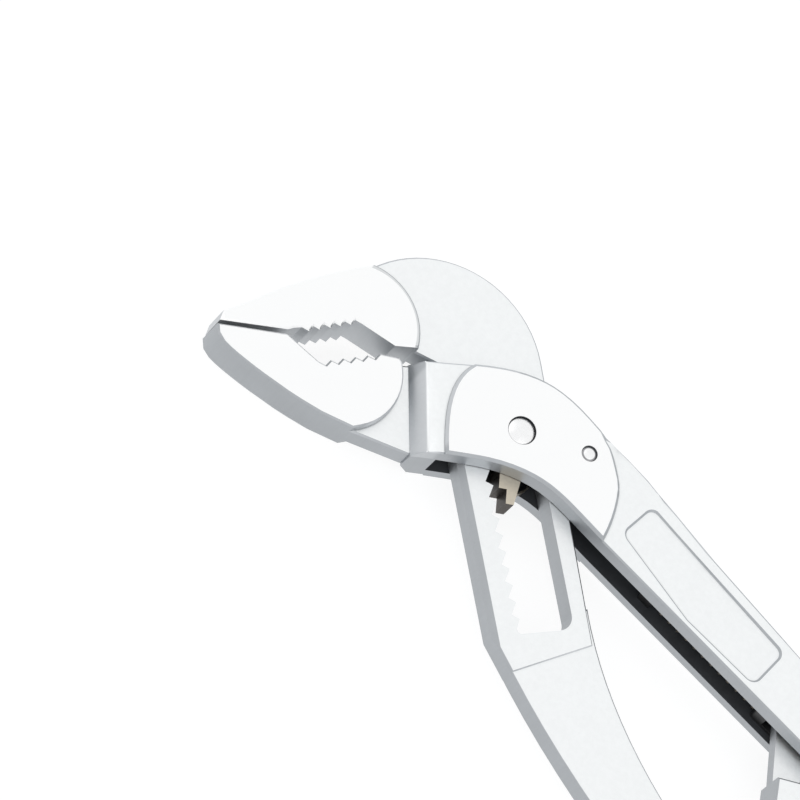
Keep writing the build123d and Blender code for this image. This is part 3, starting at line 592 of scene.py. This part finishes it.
def inner_painted_light(m):
    """Painted light that lifts the side shade on the upper jaw's ground walls, most at its nose,
    and on the low step of the flat handle.
    """
    nose = m.step(m.x, 57.25, 57.35)
    jaw = m.both(m.step(m.x, 26, 27), m.blend(nose, 0.55, 1.0))
    from_step = [m.math("MULTIPLY", m.math("SUBTRACT", value, point), normal)
                 for value, point, normal in zip((m.x, m.y), LOW_STEP, LOW_STEP_NORMAL)]
    on_step = m.band(m.math("ADD", *from_step), 0, 0.9, 0.3)
    slope = m.step(m.math("ABSOLUTE", m.nx), 0.4, 0.5)
    return m.either(jaw, m.both(on_step, slope))


def outer_painted_light(m):
    """Painted light that lifts the side shade on the wall where the fork rises from the jaw's neck,
    a deep corner where shade falls.
    """
    along = m.both(m.step(m.x, 8, 9), m.flip(m.step(m.x, 22, 23)))
    return m.both(along, m.step(m.z, 9.8, 9.9), m.flip(m.step(m.ny, 0.7, 0.9)), 0.75)


def painted_gap_shade():
    """Near-black painted shade inside the fork and the channel, with a patchy tone."""
    m = Finish("painted_gap_shade")
    patch, normal = m.worn(2.2, 0.3, 0.03)
    return m.surface(m.tone(SHADE_BLACK, 0.35, patch), 0.2, m.blend(patch, 0.55, 0.7), normal)


def darken_gap(node, material):
    """Gives the second material, the painted gap shade, to each face with metal of the same piece
    over and under it.
    """
    mesh = nodes[node].data
    mesh.materials.append(material)
    points = [vertex.co for vertex in mesh.vertices]
    tree = BVHTree.FromPolygons(points, [polygon.vertices for polygon in mesh.polygons])
    lift = 0.25 * MM
    for polygon in mesh.polygons:
        start = polygon.center + polygon.normal * lift
        hits = [tree.ray_cast(start, Vector((0, 0, way)))[0] for way in (1, -1)]
        if None not in hits:
            polygon.material_index = 1


dress(plated("plate_outer", outer_raised, pin_hole_shade, outer_painted_light, edge_metal=0.3), "outer_lever")
# Painted shade: near-black on the faces inside the fork's gap
darken_gap("outer_lever", painted_gap_shade())
dress(plated("plate_inner", inner_raised, heel_shade, inner_painted_light), "inner_lever")
dress(plated("plate_strut", not_raised, Finish.nowhere, Finish.nowhere), "strut")

# ---------------------------------------------------------------- turned and spring steel
# Painted shade on a pin's rim
RIM_SHADE = (0.30, 0.30, 0.31)
RING_PITCH = 0.22                # Of the fine rings that turning leaves


def turned(name, colour, roughness, middle, rim):
    """Turned steel with fine rings round the piece's own axis and a painted shade on its rim."""
    m = Finish(name)
    away = m.radius(middle)
    rings = m.math("SINE", m.math("MULTIPLY", away, 2 * math.pi / RING_PITCH))
    rings = m.math("MULTIPLY_ADD", rings, 0.5, 0.5)
    scuff = m.noise(0.6, detail=4.0, roughness=0.6)
    tint = m.tone(m.tone(colour, 0.03, rings), 0.06, scuff)
    # Painted shade on the rim
    tint = m.mix(m.step(away, rim - 0.22, rim - 0.08), tint, RIM_SHADE)
    rough = m.blend(scuff, roughness - 0.06, roughness + 0.08)
    return m.surface(tint, 1.0, rough, m.bump(rings, 0.004))


dress(turned("pin_face", (0.90, 0.905, 0.91), 0.26, PIVOT, rim=2.88), "pivot_pin")
dress(turned("cross_pin_face", (0.90, 0.905, 0.91), 0.30, SMALL_PIN, rim=1.34), "cross_pin")
dress(turned("strut_pin_face", (0.80, 0.81, 0.82), 0.30, STRUT_PIN, rim=3.7), "strut_pin")
dress(turned("nose_pin_face", (0.62, 0.63, 0.64), 0.34, NOSE_PIN, rim=1.75), "nose_pin")


def oiled(name, colour, roughness):
    """Dark hardened steel with an oily bloom."""
    m = Finish(name)
    patch, normal = m.worn(1.6, 0.25, 0.02)
    rough = m.blend(patch, roughness - 0.08, roughness + 0.12)
    return m.surface(m.tone(colour, 0.25, patch), 0.9, rough, normal)


dress(oiled("oiled_steel", (0.07, 0.07, 0.072), 0.38),
      "guide_block", "pivot_sleeve", "stop_bush", "slider", "spring_seat")
dress(oiled("spring_wire", (0.30, 0.27, 0.22), 0.34), "return_spring", "pawl_spring", "strut_ring")


def pawl_finish():
    """Cream plate on the front face, near-black painted shade on the toothed edge."""
    m = Finish("pawl_plate")
    face = m.step(m.nz, 0.6, 0.85)
    stain = m.noise(0.8, detail=4.0, roughness=0.65)
    cream = m.tone((0.62, 0.56, 0.46), 0.14, stain)
    # Painted shade on the toothed edge and the other sides
    toothed_edge_shade = m.tone((0.055, 0.045, 0.038), 0.35, stain)
    return m.surface(m.mix(face, toothed_edge_shade, cream), 0.75, m.blend(face, 0.42, 0.36),
                     m.bump(stain, 0.03))


dress(pawl_finish(), "pawl")


# ---------------------------------------------------------------- moulded grips
def moulded(name, colour):
    """Matte plastic with a fine spark-eroded texture."""
    m = Finish(name)
    cells = m.new("ShaderNodeTexVoronoi", Vector=m.grains(0.7), Scale=1.0)
    wear = m.noise(9, detail=4.0, roughness=0.6)
    return m.surface(m.tone(colour, 0.18, wear), 0.0, m.blend(wear, 0.48, 0.62),
                     m.bump(cells.outputs["Distance"], 0.05))


dress(moulded("grip_plastic", (0.035, 0.036, 0.038)), "outer_grip", "inner_grip")

# ---------------------------------------------------------------- bench, backdrop and lamps
BENCH_HALF = 6.0                 # Metres
BENCH_DROP = 0.05 * MM           # Keeps the bench clear of the faces that lie on it
BENCH_GREY = (0.24, 0.24, 0.24)
BENCH_GLOW = 0.84
ROOM_LIGHT = (0.95, 0.97, 1.0)
ROOM_STRENGTH = 0.80
WHITE = (1, 1, 1)


def make_bench():
    """A table that glows white to the camera and casts little of it on the part."""
    mesh = bpy.data.meshes.new("bench")
    signs = ((-1, -1), (1, -1), (1, 1), (-1, 1))
    corners = [(x * BENCH_HALF, y * BENCH_HALF, 0) for x, y in signs]
    mesh.from_pydata(corners, [], [(0, 1, 2, 3)])
    bench = bpy.data.objects.new("bench", mesh)
    bench.location.z = -BENCH_DROP
    scene.collection.objects.link(bench)
    material = bpy.data.materials.new("bench")
    n = Nodes(material, "ShaderNodeOutputMaterial")
    diffuse = n.new("ShaderNodeBsdfDiffuse", Color=BENCH_GREY)
    glow = n.new("ShaderNodeEmission", Strength=BENCH_GLOW)
    total = n.new("ShaderNodeAddShader")
    for socket, shader in zip(total.inputs, (diffuse, glow)):
        n.feed(socket, shader.outputs[0])
    top = n.mix_shader(n.seen_directly(), diffuse, total)
    # The bench is open from below, so that the back can be looked at
    below = n.new("ShaderNodeNewGeometry").outputs["Backfacing"]
    n.end(n.mix_shader(below, top, n.new("ShaderNodeBsdfTransparent")))
    mesh.materials.append(material)


def make_room():
    """White behind the part and in its reflections, and a cool light on it."""
    scene.world = bpy.data.worlds.new("studio")
    n = Nodes(scene.world, "ShaderNodeOutputWorld")
    light = n.new("ShaderNodeBackground", Color=ROOM_LIGHT, Strength=ROOM_STRENGTH)
    white = n.new("ShaderNodeBackground", Color=WHITE, Strength=1.0)
    n.end(n.mix_shader(n.seen_directly(), light, white))


def lamp(name, where, size, power):
    """A round lamp that looks at the pivot."""
    data = bpy.data.lights.new(name, "AREA")
    data.shape = "DISK"
    data.size = size
    data.energy = power
    obj = bpy.data.objects.new(name, data)
    obj.visible_camera = False
    obj.location = where
    obj.rotation_mode = "QUATERNION"
    obj.rotation_quaternion = (-Vector(where)).to_track_quat("-Z", "Y")
    scene.collection.objects.link(obj)


make_bench()
make_room()
lamp("key", (-0.9, 0.35, 1.2), size=1.2, power=2.2)
lamp("fill", (0.9, -0.2, 1.0), size=1.2, power=1.0)

# ---------------------------------------------------------------- camera at the photograph's angle
ELEVATION = math.radians(62)     # Above the bench, from the far side of the jaws
ROLL = math.radians(45.4)
PICTURE = 800                    # Pixels across the photograph
PIXELS_PER_METRE = 5000.0
PIVOT_PIXEL = (509.7, 442.2)
LENS = 400.0
SENSOR = 36.0


def make_camera():
    """A long lens that puts the pivot on its own pixel of the photograph."""
    along = Vector((-1, 0, 0))
    across = Vector((0, -math.sin(ELEVATION), math.cos(ELEVATION)))
    right = along * math.cos(ROLL) + across * math.sin(ROLL)
    up = -along * math.sin(ROLL) + across * math.cos(ROLL)
    back = right.cross(up)
    aside, below = ((pixel - PICTURE / 2) / PIXELS_PER_METRE for pixel in PIVOT_PIXEL)
    centre = Vector((*PIVOT, MIDDLE_Z)) * MM - right * aside + up * below
    distance = (PICTURE / PIXELS_PER_METRE) / (SENSOR / LENS)
    data = bpy.data.cameras.new("camera")
    data.type = "PERSP"
    data.lens = LENS
    data.sensor_width = SENSOR
    data.clip_start = 0.05
    data.clip_end = 20
    camera = bpy.data.objects.new("camera", data)
    camera.matrix_world = Matrix((right, up, back)).transposed().to_4x4()
    camera.location = centre + back * distance
    scene.collection.objects.link(camera)
    scene.camera = camera


make_camera()
scene.view_settings.view_transform = "Standard"
